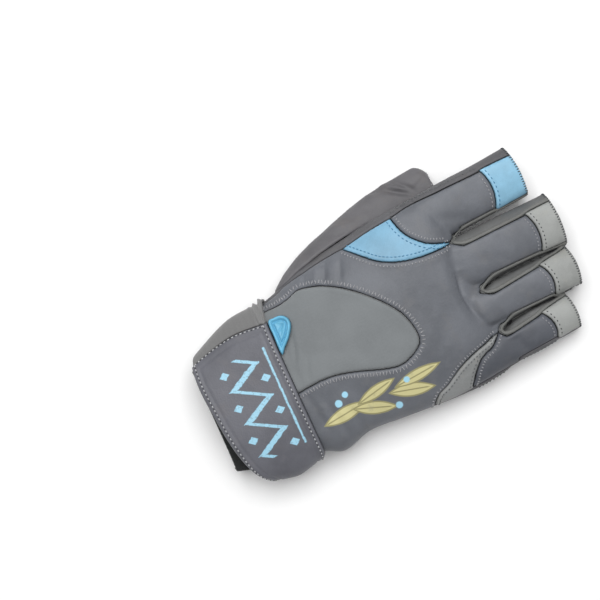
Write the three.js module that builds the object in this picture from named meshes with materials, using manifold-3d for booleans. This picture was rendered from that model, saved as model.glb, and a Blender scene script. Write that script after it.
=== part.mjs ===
// A fingerless fitness glove for the right hand, lying palm down with its fingers a little curled.
// It is sewn from leather panels round a hollow for the hand: a palm that wraps round both sides, a
// back panel with an egg-shaped stretch insert, coloured wedges beside the index and little fingers,
// bands at the fingertips, gusset strips between the fingers, a thumb, and a wrist strap.
//
// Millimetres, +Z up. The origin is on the flat underside of the palm. +Y runs to the fingertips and
// +X to the little finger.
import * as THREE from 'three';
import { mergeVertices } from 'three/addons/utils/BufferGeometryUtils.js';
import Module from 'manifold-3d';

const wasm = await Module();
wasm.setup();

// Driving sizes
const LEATHER = 1.8; // thickness of every sewn wall
const GAP = 0.3; // clearance between two pieces
const SIDES = { hand: 36, finger: 16, thumb: 16 };
const SQUARENESS = 2.3; // 2 is an ellipse, more is boxier
const CROTCH_Y = 40.5; // where the fingers part
const CUFF_Y = -94.6; // rim of the wrist opening on the palm side
const BACK_CUFF_Y = -84; // the back of the cuff ends earlier, under the strap
const PAST_THE_END = 6; // how far a hollow runs out of its open end
const OUTLINE_STEPS = 2; // straight steps between two points of an outline's curve
const SHARPEST_MITRE = 0.3; // keeps the gap at a pointed corner from running far out

// The hand from the wrist to the crotches of the fingers, as sections across Y. A positive roll lifts
// the index side, which lies on the thumb. Nothing reaches below floor, so the underside is flat there.
const HAND = [
  { y: CUFF_Y, left: -18.8, right: 36.0, bottom: 4.5, top: 23.4, roll: 0, floor: 5.6 },
  { y: -70.0, left: -29.2, right: 44.5, bottom: 4.5, top: 24.8, roll: 0, floor: 5.6 },
  { y: -54.0, left: -31.0, right: 42.0, bottom: 4.5, top: 26.0, roll: 0, floor: 5.6 },
  { y: -44.0, left: -33.5, right: 45.8, bottom: 1.0, top: 27.5, roll: 1, floor: 2.0 },
  { y: -30.0, left: -38.5, right: 42.2, bottom: -1.0, top: 29.5, roll: 2, floor: 0 },
  { y: -10.0, left: -42.5, right: 43.2, bottom: -1.2, top: 31.0, roll: 4, floor: 0 },
  { y: 8.0, left: -45.0, right: 44.6, bottom: -1.0, top: 31.0, roll: 6, floor: 0 },
  { y: 22.0, left: -46.5, right: 44.8, bottom: 1.5, top: 30.0, roll: 8, floor: 0 },
  { y: 34.0, left: -46.6, right: 44.2, bottom: 5.0, top: 27.0, roll: 8, floor: 0 },
  { y: CROTCH_Y, left: -45.0, right: 43.2, bottom: 8.5, top: 22.0, roll: 8, floor: 0 },
];

// The four finger stalls: middle of the root and of the cut end, and the width and height there. The
// seams are how far the back of the finger reaches from its middle line, at the root and at the end.
// back is where that strip starts along Y, and band where the fingertip band starts at its two edges.
const ROOT_Y = 24;
const FINGER_ROLL = 8;
const FINGERS = [
  { name: 'index', rootX: -34.6, rootZ: 20.4, endX: -38.9, endY: 80.6, endZ: 13.8, rootWidth: 23.6,
    endWidth: 24.2, height: 15, seamIn: [9.4, 6.4], seamOut: [10.0, 10.9], back: 44,
    band: [64.6, 64.6] },
  { name: 'middle', rootX: -9.9, rootZ: 19.4, endX: -11.5, endY: 88.2, endZ: 12.6, rootWidth: 23.2,
    endWidth: 25.2, height: 16, seamIn: [6.4, 7.4], seamOut: [9.6, 10.6], back: 38,
    band: [75.2, 75.8] },
  { name: 'ring', rootX: 12.1, rootZ: 16.8, endX: 11.2, endY: 87.0, endZ: 10.6, rootWidth: 19.0,
    endWidth: 18.6, height: 15, seamIn: [1.0, 7.6], seamOut: [8.0, 8.0], back: 38,
    band: [71.8, 73.4] },
  { name: 'little', rootX: 33.2, rootZ: 13.4, endX: 29.9, endY: 78.4, endZ: 8.0, rootWidth: 19.8,
    endWidth: 17.4, height: 13.5, seamIn: [1.0, 6.4], seamOut: [8.4, 7.3], back: 44,
    band: [63.8, 66.4] },
];
const BAND_BOW = 2.4; // how far the middle of a band's seam bows to the fingertip
const BAND_WRAP = 1.0; // how much further than the back a band reaches round the finger
const FINGER_STATIONS = 6;

// The thumb, tucked under the index side and pressed flat by the hand on it.
const THUMB = [
  { x: -23.0, y: -43, z: 13.0, halfWidth: 9.0, halfHeight: 7.5 },
  { x: -29.2, y: -29.5, z: 11.4, halfWidth: 13.2, halfHeight: 9.5 },
  { x: -35.8, y: -13, z: 10.2, halfWidth: 14.0, halfHeight: 9.6 },
  { x: -43.0, y: 6, z: 7.4, halfWidth: 12.6, halfHeight: 7.5 },
  { x: -47.4, y: 25, z: 6.0, halfWidth: 12.0, halfHeight: 6.4 },
  { x: -49.4, y: 44, z: 5.8, halfWidth: 11.8, halfHeight: 6.1 },
];
const THUMB_STATIONS = 9;

// Height of the middle of the hand and fingers along Y. Back panels lie above it, and the gussets
// between the fingers reach a little below it.
const MIDDLE_HEIGHT = [
  { y: -100, z: 14.0 }, { y: -50, z: 14.5 }, { y: -20, z: 15.5 }, { y: 10, z: 17.0 },
  { y: 30, z: 18.0 }, { y: 45, z: 17.6 }, { y: 60, z: 16.0 }, { y: 75, z: 13.4 }, { y: 100, z: 7.6 },
];
const MIDDLE_ROLL = 6;
const GUSSET_DEPTH = 3.4;

// The edges of the wrist strap and of its elastic, by the angle round the wrist: 0 is the little
// finger's side, 90 the back of the hand, 180 the thumb's side and 270 or -90 underneath.
const STRAP_EDGES = [
  { angle: -124, front: -56, rear: -78 }, { angle: -30, front: -55, rear: -79 },
  { angle: 0, front: -54, rear: -80.5 }, { angle: 23, front: -52.6, rear: -85.6 },
  { angle: 57, front: -52.2, rear: -89.6 }, { angle: 90, front: -52.2, rear: -92 },
  { angle: 120, front: -52.2, rear: -93.2 }, { angle: 165, front: -51.6, rear: -92.4 },
];
const ELASTIC_EDGES = [
  { angle: 134, front: -52.6, rear: -92 }, { angle: 165, front: -50.6, rear: -91.2 },
  { angle: 190, front: -49.8, rear: -88.5 }, { angle: 280, front: -51, rear: -85 },
];
// Ends are angles at the front and rear edges. Lifts are heights over the leather of the cuff.
const STRAP = { thick: 2.1, from: [133, 149], to: [-124, -124] };
const STRAP_LIFT = [
  { angle: -124, lift: 3.4 }, { angle: -100, lift: 3.4 }, { angle: -82, lift: 3.2 },
  { angle: -56, lift: 1.8 }, { angle: -30, lift: 1.0 }, { angle: 0, lift: 0.7 }, { angle: 170, lift: 0.7 },
];
const ELASTIC = { lift: 0.5, thick: 1.5, from: [276, 276], to: [134, 150] };
const HOOK = { lift: 2.35, thick: 0.7, from: [273, 273], to: [238, 238], front: -58, rear: -76 };
const LINING = { lift: -3.1, thick: 0.8, from: [350, 350], to: [190, 190], front: -64, rear: -94.3 };
const TAB = { lift: 0.4, thick: 1.8 };

// Plan outlines on the back of the hand, walked round in order. Each edge is a smooth curve through
// its points, and the outlines meet in corners.
const STRETCH_OUTLINE = [
  [[-28.0, -62], [-27.4, -46.2], [-28.6, -38.5], [-30.2, -33.5], [-28.9, -27], [-26.2, -20.5],
    [-20.1, -11.4], [-10.8, -1.8], [-1.0, 5.4], [9.2, 8.2], [15.4, 6.6], [20.1, -2.6], [19.0, -11],
    [15.4, -21.3], [12.6, -31], [11.6, -40], [12.4, -50], [13.5, -62]],
];
const INDEX_WEDGE_OUTLINE = [
  [[-38.8, -6.8], [-33.7, -1.7], [-26.9, 5.5], [-22.8, 13.8], [-20.8, 22.6], [-20.2, 31], [-20.8, 39.4]],
  [[-24.2, 30], [-29.1, 24.3], [-34.7, 20.5], [-42.3, 18.4]],
  [[-41.2, 6], [-38.8, -6.8]],
];
const INDEX_BACK_OUTLINE = [
  [[-42.3, 18.4], [-34.7, 20.5], [-29.1, 24.3], [-24.2, 30], [-21.4, 39]],
  [[-25.2, 46]], [[-44.2, 46]], [[-44.1, 30], [-42.3, 18.4]],
];
const HAND_BACK_OUTLINE = [
  [[-30, -90], [-32.5, -60], [-33, -47.5], [-37.8, -20], [-38.8, -6.8]],
  [[-35, 10]], [[-20.6, 38.8]], [[-17.0, 44]], [[-8, 50]],
  [[-0.8, 50], [1.2, 45.8], [5.0, 41.2]], [[8.2, 46.6]],
  [[20.2, 50.5]], [[21.6, 46.8], [24.8, 42.0]],
  [[27.6, 33.4], [29.7, 26.8], [33, 18.9], [37.7, 11.1], [40.6, 4.6], [50, -2]],
  [[50, -90]],
];
const LITTLE_WEDGE_OUTLINE = [
  [[25.2, 42.2]], [[30.2, 37.2], [32.8, 31.0], [37.0, 26.4], [43.0, 22.0], [52, 19]],
  [[52, -6]], [[30, 5]],
];
const LITTLE_BACK_OUTLINE = [
  [[25.2, 42.2]], [[30.2, 37.2], [32.8, 31.0], [37.0, 26.4], [43.4, 21.6]],
  [[42.6, 34], [41.0, 46]], [[30.4, 46]],
];
const TAB_OUTLINE = [
  [[-22.6, -51.6], [-23.4, -48.4], [-23.2, -45.4], [-21.6, -43.0], [-19.0, -42.0], [-15.9, -42.8],
    [-12.1, -45.5], [-8.9, -48.9], [-6.4, -51.7]],
];

// Reads a named column of a table at a place between its rows, on a smooth curve through them.
function column(rows, key, name, at) {
  const last = rows.length - 1;
  const after = rows.findIndex((row) => row[key] >= at);
  const i = Math.min(Math.max(after < 0 ? last : after, 1), last);
  const [a, b] = [rows[i - 1], rows[i]];
  const t = (at - a[key]) / (b[key] - a[key]);
  const slope = (low, high) => (rows[high][name] - rows[low][name]) / (rows[high][key] - rows[low][key]);
  const slopeA = i > 1 ? slope(i - 2, i) : slope(0, 1);
  const slopeB = i < last ? slope(i - 1, i + 1) : slope(last - 1, last);
  if (t < 0 || t > 1) return t < 0 ? a[name] + slopeA * (at - a[key]) : b[name] + slopeB * (at - b[key]);
  const span = b[key] - a[key];
  const [t2, t3] = [t * t, t * t * t];
  return (2 * t3 - 3 * t2 + 1) * a[name] + (t3 - 2 * t2 + t) * span * slopeA
    + (3 * t2 - 2 * t3) * b[name] + (t3 - t2) * span * slopeB;
}

const lerp = THREE.MathUtils.lerp;
const radians = THREE.MathUtils.degToRad;
const power = (value, exponent) => Math.sign(value) * Math.abs(value) ** exponent;

// A point of a rounded section, by its angle, in a plane square to the way forward.
function sectionPoint(section, angle) {
  const { centre, forward, halfWidth, halfHeight, roll, floor } = section;
  const side = new THREE.Vector3().crossVectors(forward, new THREE.Vector3(0, 0, 1)).normalize();
  const up = new THREE.Vector3().crossVectors(side, forward);
  const across = halfWidth * power(Math.cos(angle), 2 / SQUARENESS);
  const above = halfHeight * power(Math.sin(angle), 2 / SQUARENESS);
  const [c, s] = [Math.cos(radians(roll)), Math.sin(radians(roll))];
  const point = centre.clone().addScaledVector(side, across * c + above * s)
    .addScaledVector(up, above * c - across * s);
  point.z = Math.max(point.z, floor);
  return point;
}

const sectionRing = (section, sides) => Array.from({ length: sides },
  (_, i) => sectionPoint(section, (2 * Math.PI * i) / sides));

// The hand's section at a place along Y, made larger or smaller by an offset from its skin.
function handSection(y, offset) {
  const at = (name) => column(HAND, 'y', name, y);
  return {
    centre: new THREE.Vector3((at('left') + at('right')) / 2, y, (at('bottom') + at('top')) / 2),
    forward: new THREE.Vector3(0, 1, 0),
    halfWidth: (at('right') - at('left')) / 2 + offset,
    halfHeight: (at('top') - at('bottom')) / 2 + offset,
    roll: at('roll'),
    floor: Math.max(at('floor'), 0) - offset,
  };
}

// Where a finger's middle line is, a share of the way from its root to its cut end. It droops more
// and more towards the end.
function fingerMiddle(finger, share) {
  return new THREE.Vector3(
    lerp(finger.rootX, finger.endX, share),
    lerp(ROOT_Y, finger.endY, share),
    finger.rootZ + (finger.endZ - finger.rootZ) * Math.max(share, 0) ** 2,
  );
}

function alongPath(middle, share) {
  const step = 0.02;
  return new THREE.Vector3().subVectors(middle(share + step), middle(share - step)).normalize();
}

function fingerSection(finger, share, offset) {
  const middle = (at) => fingerMiddle(finger, at);
  return {
    centre: middle(share),
    forward: alongPath(middle, share).setZ(0).normalize(),
    halfWidth: lerp(finger.rootWidth, finger.endWidth, share) / 2 + offset,
    halfHeight: finger.height / 2 + offset,
    roll: FINGER_ROLL,
    floor: -Infinity,
  };
}

function thumbSection(share, offset) {
  const rows = THUMB.map((row, i) => ({ ...row, share: i / (THUMB.length - 1) }));
  const at = (name, place) => column(rows, 'share', name, place);
  const middle = (place) => new THREE.Vector3(at('x', place), at('y', place), at('z', place));
  return {
    centre: middle(share),
    forward: alongPath(middle, share).setZ(0).normalize(),
    halfWidth: at('halfWidth', share) + offset,
    halfHeight: at('halfHeight', share) + offset,
    roll: 0,
    floor: -offset,
  };
}

function solid(geometry) {
  const bare = geometry.index ? geometry : geometry.clone();
  bare.deleteAttribute('normal');
  bare.deleteAttribute('uv');
  const merged = mergeVertices(bare, 1e-4);
  return new wasm.Manifold(new wasm.Mesh({
    numProp: 3,
    vertProperties: new Float32Array(merged.attributes.position.array),
    triVerts: new Uint32Array(merged.index.array),
  }));
}

function solidFrom(points, triangles) {
  const geometry = new THREE.BufferGeometry();
  geometry.setFromPoints(points);
  geometry.setIndex(triangles);
  return solid(geometry);
}

// A closed form through rings of points, with flat ends. The rings run round from +X over the top.
function loft(rings) {
  const sides = rings[0].length;
  const points = rings.flat();
  const triangles = [];
  for (let r = 0; r < rings.length - 1; r++) {
    for (let i = 0; i < sides; i++) {
      const [a, b] = [r * sides + i, r * sides + ((i + 1) % sides)];
      triangles.push(a, a + sides, b, b, a + sides, b + sides);
    }
  }
  [rings[0], rings.at(-1)].forEach((ring, end) => {
    const start = end ? (rings.length - 1) * sides : 0;
    const centre = points.length;
    points.push(ring.reduce((sum, p) => sum.add(p), new THREE.Vector3()).divideScalar(sides));
    for (let i = 0; i < sides; i++) {
      const [a, b] = [start + i, start + ((i + 1) % sides)];
      triangles.push(centre, ...(end ? [b, a] : [a, b]));
    }
  });
  return solidFrom(points, triangles);
}

// A thick sheet between two surfaces, from a function that gives a point by two shares and a lift.
function sheet(point, inner, outer, [across, along]) {
  const layer = (lift) => Array.from({ length: (across + 1) * (along + 1) },
    (_, i) => point((i % (across + 1)) / across, Math.floor(i / (across + 1)) / along, lift));
  const points = [...layer(outer), ...layer(inner)];
  const under = points.length / 2;
  const at = (u, v) => v * (across + 1) + u;
  const triangles = [];
  const quad = (a, b, c, d) => triangles.push(a, c, b, a, d, c);
  for (let v = 0; v < along; v++) {
    for (let u = 0; u < across; u++) {
      const [a, b, c, d] = [at(u, v), at(u + 1, v), at(u + 1, v + 1), at(u, v + 1)];
      quad(a, b, c, d);
      quad(under + d, under + c, under + b, under + a);
    }
  }
  const rim = (a, b) => quad(b, a, under + a, under + b);
  for (let u = 0; u < across; u++) {
    rim(at(u, 0), at(u + 1, 0));
    rim(at(u + 1, along), at(u, along));
  }
  for (let v = 0; v < along; v++) {
    rim(at(0, v + 1), at(0, v));
    rim(at(across, v), at(across, v + 1));
  }
  return solidFrom(points, triangles);
}

const stations = (count, from, to) => Array.from({ length: count },
  (_, i) => lerp(from, to, i / (count - 1)));
const union = (parts) => parts.reduce((a, b) => a.add(b));
const biggest = (body) => body.decompose().sort((a, b) => b.volume() - a.volume())[0];

// The forms of the hand, a finger and the thumb, at an offset from the outside of the leather. A
// hollow runs on past its open end.
const HAND_STATIONS = [CUFF_Y, -84, -73, -64, -55, -48, -38, -28, -14, 0, 12, 22, 31];
function handForm(offset, past = 0) {
  const places = [CUFF_Y - past, ...HAND_STATIONS.slice(1), CROTCH_Y + Math.min(offset, 0)];
  return loft(places.map((y) => sectionRing(handSection(y, offset), SIDES.hand)));
}
function fingerForm(finger, offset, past = 0) {
  const end = 1 + past / (finger.endY - ROOT_Y);
  return loft(stations(FINGER_STATIONS, 0, end)
    .map((share) => sectionRing(fingerSection(finger, share, offset), SIDES.finger)));
}
function thumbForm(offset, past = 0) {
  const length = THUMB.at(-1).y - THUMB[0].y;
  return loft(stations(THUMB_STATIONS, 0, 1 + past / length)
    .map((share) => sectionRing(thumbSection(share, offset), SIDES.thumb)));
}

// An outline's corners and curves as one list of points.
function outlinePoints(edges) {
  const shape = new THREE.Shape();
  shape.moveTo(...edges[0][0]);
  edges.forEach((edge, i) => {
    const points = (i ? edge : edge.slice(1)).map(([x, y]) => new THREE.Vector2(x, y));
    if (points.length === 1) shape.lineTo(points[0].x, points[0].y);
    else if (points.length > 1) shape.splineThru(points);
  });
  const points = shape.getPoints(OUTLINE_STEPS);
  return points.filter((p, i) => p.distanceTo(points[(i + 1) % points.length]) > 0.05);
}

// The outline moved outwards, so that what is left round a piece keeps clear of it.
function grown(points, by) {
  const outward = Math.sign(THREE.ShapeUtils.area(points)) * by;
  return points.map((p, i) => {
    const into = p.clone().sub(points.at(i - 1)).normalize();
    const along = points[(i + 1) % points.length].clone().sub(p).normalize().add(into).normalize();
    const reach = outward / Math.max(along.dot(into), SHARPEST_MITRE);
    return new THREE.Vector2(p.x + along.y * reach, p.y - along.x * reach);
  });
}

function prism(points) {
  const tall = 60;
  return solid(new THREE.ExtrudeGeometry(new THREE.Shape(points), { depth: tall, bevelEnabled: false }));
}

// Everything above the middle of the hand and fingers, moved up or down.
function aboveMiddle(raise) {
  const [ceiling, halfSpan] = [70, 90];
  const profile = new THREE.Shape(MIDDLE_HEIGHT.map(({ y, z }) => new THREE.Vector2(y, z + raise))
    .concat([new THREE.Vector2(100, ceiling), new THREE.Vector2(-100, ceiling)]));
  const geometry = new THREE.ExtrudeGeometry(profile, { depth: 2 * halfSpan, bevelEnabled: false });
  geometry.applyMatrix4(new THREE.Matrix4().makeBasis(
    new THREE.Vector3(0, 1, 0), new THREE.Vector3(0, 0, 1), new THREE.Vector3(1, 0, 0)));
  geometry.translate(-halfSpan, 0, 0).rotateY(radians(MIDDLE_ROLL));
  return solid(geometry);
}

// The plan outline of a finger's back or band, from where its two edges start along Y to past its cut
// end. The bow curves the seam that it starts with, and the wrap widens it.
function fingerStrip(finger, [fromIn, fromOut], bow = 0, wrap = 0) {
  const edge = (seam, side, y) => {
    const share = (y - ROOT_Y) / (finger.endY - ROOT_Y);
    const reach = lerp(seam[0], seam[1], share) + wrap;
    return new THREE.Vector2(fingerMiddle(finger, share).x + side * reach, y);
  };
  const past = finger.endY + PAST_THE_END;
  const [left, right] = [edge(finger.seamIn, -1, fromIn), edge(finger.seamOut, 1, fromOut)];
  const steps = 6;
  const start = Array.from({ length: steps + 1 }, (_, i) => {
    const t = i / steps;
    return left.clone().lerp(right, t).add(new THREE.Vector2(0, 4 * bow * t * (1 - t)));
  });
  return [...start, edge(finger.seamOut, 1, past), edge(finger.seamIn, -1, past)];
}

// The whole sewn wall: the outside form less the hollow. The back of the cuff is cut shorter than
// the palm, and the thumb's hollow opens into the hand.
const [index, middle, ring, little] = FINGERS;
const outside = union([handForm(0), ...FINGERS.map((finger) => fingerForm(finger, 0))]);
const hollow = union([handForm(-LEATHER, PAST_THE_END),
  ...FINGERS.map((finger) => fingerForm(finger, -LEATHER, PAST_THE_END))]);
const pastTheCuff = [[-90, -120], [90, -120], [90, BACK_CUFF_Y], [-90, BACK_CUFF_Y]];
const backOfCuff = aboveMiddle(0).intersect(prism(pastTheCuff.map(([x, y]) => new THREE.Vector2(x, y))));
let wall = outside.subtract(hollow).subtract(backOfCuff).subtract(thumbForm(-LEATHER, PAST_THE_END));

// Cuts one panel out of what is left of the wall, and clears a gap round it.
function take(outlines, level) {
  const cutter = (by) => union(outlines.map((points) => prism(grown(points, by))))
    .intersect(aboveMiddle(level - by));
  const panel = wall.intersect(cutter(0));
  wall = wall.subtract(cutter(GAP));
  return biggest(panel);
}

const panels = {};
panels.stretch_panel = take([outlinePoints(STRETCH_OUTLINE)], 0);
for (const finger of FINGERS) {
  panels[`${finger.name}_band`] = take([fingerStrip(finger, finger.band, BAND_BOW, BAND_WRAP)], 0);
}
const strip = (finger) => fingerStrip(finger, [finger.back, finger.back]);
panels.index_wedge = take([outlinePoints(INDEX_WEDGE_OUTLINE)], 0);
panels.index_back = take([outlinePoints(INDEX_BACK_OUTLINE), strip(index)], 0);
panels.back_panel = take([outlinePoints(HAND_BACK_OUTLINE), strip(middle), strip(ring)], 0);
panels.little_back = take([outlinePoints(LITTLE_BACK_OUTLINE), strip(little)], 0);
panels.little_wedge = take([outlinePoints(LITTLE_WEDGE_OUTLINE)], 0);

// The gussets line the sides of the fingers, from a little before the crotch to past the ends.
const GUSSET_START_Y = CROTCH_Y - 6;
for (const [a, b] of [[index, middle], [middle, ring], [ring, little]]) {
  const onMiddle = (finger, y) => {
    const share = (y - ROOT_Y) / (finger.endY - ROOT_Y);
    return new THREE.Vector2(fingerMiddle(finger, share).x, y);
  };
  const past = Math.max(a.endY, b.endY) + PAST_THE_END;
  const between = [
    onMiddle(a, GUSSET_START_Y), onMiddle(b, GUSSET_START_Y), onMiddle(b, past), onMiddle(a, past)];
  panels[`fourchette_${a.name}_${b.name}`] = take([between], -GUSSET_DEPTH);
}
panels.palm = biggest(wall);
const clearOfHand = union([handForm(GAP), fingerForm(index, GAP)]);
panels.thumb = biggest(thumbForm(0).subtract(thumbForm(-LEATHER, PAST_THE_END)).subtract(clearOfHand));

// The pull tab lies on the stretch panel, in front of the strap's edge.
panels.pull_tab = handForm(TAB.lift + TAB.thick).subtract(handForm(TAB.lift))
  .intersect(prism(outlinePoints(TAB_OUTLINE))).intersect(aboveMiddle(0));

// A point on the wrist, by the angle round it and the place along it.
const wristPoint = (angle, y, lift) => sectionPoint(handSection(y, lift), radians(angle));

// A sheet round the wrist between two ends, whose front and rear edges come from a table.
function wristSheet({ from, to, thick }, edges, lift, steps) {
  return sheet((u, v, layer) => {
    const angle = lerp(lerp(from[0], from[1], v), lerp(to[0], to[1], v), u);
    const front = column(edges, 'angle', 'front', angle);
    const rear = column(edges, 'angle', 'rear', angle);
    return wristPoint(angle, lerp(front, rear, v), lift(angle) + layer * thick);
  }, 0, 1, steps);
}

const straightEdges = ({ front, rear }) => [{ angle: 0, front, rear }, { angle: 360, front, rear }];
const strapLift = (angle) => column(STRAP_LIFT, 'angle', 'lift', angle);
panels.wrist_strap = wristSheet(STRAP, STRAP_EDGES, strapLift, [40, 4]);
panels.strap_elastic = wristSheet(ELASTIC, ELASTIC_EDGES, () => ELASTIC.lift, [20, 4]);
panels.hook_patch = wristSheet(HOOK, straightEdges(HOOK), () => HOOK.lift, [8, 2]);
panels.cuff_lining = wristSheet(LINING, straightEdges(LINING), () => LINING.lift, [20, 3]);

// Each piece's colour and roughness.
const LOOKS = {
  palm: ['#68676b', 0.6], back_panel: ['#777a82', 0.55], stretch_panel: ['#8a9093', 0.9],
  index_back: ['#7c7f87', 0.55], index_wedge: ['#89b8d6', 0.5], little_back: ['#5c6068', 0.55],
  little_wedge: ['#888a8a', 0.6], index_band: ['#96c6e0', 0.5], middle_band: ['#abadac', 0.6],
  ring_band: ['#a8a9a9', 0.6], little_band: ['#9c9c9c', 0.6], thumb: ['#6f6f71', 0.6],
  fourchette_index_middle: ['#7c7d80', 0.6], fourchette_middle_ring: ['#74767b', 0.6],
  fourchette_ring_little: ['#64676e', 0.6], wrist_strap: ['#6e7078', 0.5],
  strap_elastic: ['#808084', 0.95], hook_patch: ['#343635', 1], cuff_lining: ['#343635', 1],
  pull_tab: ['#7cc6e6', 0.45],
};

function meshOf(name, body) {
  const { numProp, vertProperties, triVerts } = body.getMesh();
  const geometry = new THREE.BufferGeometry();
  const positions = new Float32Array((vertProperties.length / numProp) * 3);
  for (let v = 0; v < positions.length / 3; v++) {
    for (let axis = 0; axis < 3; axis++) positions[3 * v + axis] = vertProperties[numProp * v + axis];
  }
  geometry.setAttribute('position', new THREE.BufferAttribute(positions, 3));
  geometry.setIndex(Array.from(triVerts));
  geometry.computeVertexNormals();
  const [color, roughness] = LOOKS[name];
  const mesh = new THREE.Mesh(geometry, new THREE.MeshStandardMaterial({ color, roughness, metalness: 0 }));
  mesh.name = name;
  return mesh;
}

const glove = new THREE.Group();
glove.name = 'fitness_glove';
for (const [name, body] of Object.entries(panels)) glove.add(meshOf(name, body));

export default glove;
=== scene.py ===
import bisect
import math
from collections import defaultdict

import bmesh
import bpy
import numpy as np
from mathutils import Matrix, Vector, kdtree, noise
from mathutils.bvhtree import BVHTree


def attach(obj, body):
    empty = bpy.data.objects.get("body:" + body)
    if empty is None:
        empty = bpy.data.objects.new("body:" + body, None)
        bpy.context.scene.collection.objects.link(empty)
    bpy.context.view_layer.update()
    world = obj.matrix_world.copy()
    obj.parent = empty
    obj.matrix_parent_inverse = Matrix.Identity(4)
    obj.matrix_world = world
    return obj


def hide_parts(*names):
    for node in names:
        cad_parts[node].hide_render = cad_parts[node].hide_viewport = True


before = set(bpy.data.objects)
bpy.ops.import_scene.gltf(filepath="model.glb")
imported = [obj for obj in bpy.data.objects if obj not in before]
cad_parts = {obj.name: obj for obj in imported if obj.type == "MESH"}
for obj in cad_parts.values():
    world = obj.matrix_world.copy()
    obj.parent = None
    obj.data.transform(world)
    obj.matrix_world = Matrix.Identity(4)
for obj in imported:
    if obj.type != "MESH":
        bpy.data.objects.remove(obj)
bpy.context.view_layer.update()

# The skin of the glove. A fingerless fitness glove is leather turned over a flat form and pressed, so
# its panels lie on one smooth skin. It is built here in millimetres as closed tubes for the hand and
# the four finger stalls, melted into one and smoothed, and the ends are cut off in a slight bow.
MM = 0.001
GRAIN_OF_SKIN = 0.675
ROUNDS_OF_SMOOTHING = 8
SQUARENESS = 2.3
PAST_THE_END, PAST_THE_THUMB = 5, 1.08
END_BOW, END_BOW_LENGTH = 1.1, 12
WEB_HALF_WIDTH, WEB_HALF_HEIGHT = 1.8, 3.6
# The fingers below which a web lies, and where it ends.
WEBS = ((1, 80), (2, 69))
WEB_START_Y = 34
ROOT_Y = 24
FINGER_ROLL = 8
STALLS_APART_Y = 66
CUFF_Y = -94.6
BACK_CUFF_Y = -84
MIDDLE_OF_CUFF = 14.1
MIDDLE_ROLL = math.radians(6)
CUFF_CORNER, CORNER_WAY = (-17.0, CUFF_Y, 0), (-0.8, -0.6, 0)


def table(columns, *rows):
    """The rows of a table as named columns."""
    return {name: [row[i] for row in rows] for i, name in enumerate(columns.split())}


HAND = table(
    "y left right bottom top roll floor",
    (CUFF_Y, -18.8, 36, 4.5, 23.4, 0, 5.6),
    (-70, -29.2, 44.5, 4.5, 24.8, 0, 5.6),
    (-54, -31, 42, 4.5, 26, 0, 5.6),
    (-44, -33.5, 45.8, 1, 27.5, 1, 2),
    (-30, -38.5, 42.2, -1, 29.5, 2, 0),
    (-10, -42.5, 43.2, -1.2, 31, 4, 0),
    (8, -45, 44.6, -1, 31, 6, 0),
    (22, -46.5, 44.8, 1.5, 30, 8, 0),
    (34, -46.6, 44.2, 5, 27, 8, 0),
    (40.5, -45, 43.2, 8.5, 22, 8, 0),
)
FINGERS = table(
    "name root_x root_z end_x end_y end_z root_width end_width height",
    ("index", -34.6, 20.4, -38.9, 80.6, 13.8, 23.6, 24.2, 15),
    ("middle", -9.9, 19.4, -11.5, 88.2, 12.6, 23.2, 25.2, 16),
    ("ring", 12.1, 16.8, 11.2, 87, 10.6, 19, 18.6, 15),
    ("little", 33.2, 13.4, 29.9, 78.4, 8, 19.8, 17.4, 13.5),
)
THUMB = table(
    "share x y z half_width half_height",
    (0, -23, -43, 13, 9, 7.5),
    (0.2, -29.2, -29.5, 11.4, 13.2, 9.5),
    (0.4, -35.8, -13, 10.2, 14, 9.6),
    (0.6, -43, 6, 7.4, 12.6, 7.5),
    (0.8, -47.4, 25, 6, 12, 6.4),
    (1, -49.4, 44, 5.8, 11.8, 6.1),
)


def read(rows, name, at):
    """A column of a table at a place along its first column, on a smooth curve through the rows."""
    keys, values = next(iter(rows.values())), rows[name]
    last = len(keys) - 1

    def slope(low, high):
        return (values[high] - values[low]) / (keys[high] - keys[low])

    i = min(max(bisect.bisect_left(keys, at), 1), last)
    span = keys[i] - keys[i - 1]
    t = (at - keys[i - 1]) / span
    before = slope(i - 2, i) if i > 1 else slope(0, 1)
    after = slope(i - 1, i + 1) if i < last else slope(last - 1, last)
    if t < 0 or t > 1:
        end = 0 if t < 0 else last
        return values[end] + (before if t < 0 else after) * (at - keys[end])
    return (
        (2 * t**3 - 3 * t**2 + 1) * values[i - 1]
        + (t**3 - 2 * t**2 + t) * span * before
        + (3 * t**2 - 2 * t**3) * values[i]
        + (t**3 - t**2) * span * after
    )


def section_point(section, angle):
    """A point on a rounded section square to the way forward. Nothing lies below the section's floor."""
    centre, forward, half_width, half_height, roll, floor = section
    side = forward.cross(Vector((0, 0, 1))).normalized()
    up = side.cross(forward)
    corner = 2 / SQUARENESS
    across = half_width * math.copysign(abs(math.cos(angle)) ** corner, math.cos(angle))
    above = half_height * math.copysign(abs(math.sin(angle)) ** corner, math.sin(angle))
    tilt = math.radians(roll)
    point = centre + side * (across * math.cos(tilt) + above * math.sin(tilt))
    point += up * (above * math.cos(tilt) - across * math.sin(tilt))
    point.z = max(point.z, floor)
    return point


def hand_section(y, lift=0.0):
    left, right, bottom, top = (read(HAND, name, y) for name in ("left", "right", "bottom", "top"))
    return (
        Vector(((left + right) / 2, y, (bottom + top) / 2)),
        Vector((0, 1, 0)),
        (right - left) / 2 + lift,
        (top - bottom) / 2 + lift,
        read(HAND, "roll", y),
        max(read(HAND, "floor", y), 0) - lift,
    )


def along(path, share):
    """The level way along a path."""
    way = path(share + 0.02) - path(share - 0.02)
    way.z = 0
    return way.normalized()


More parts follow.
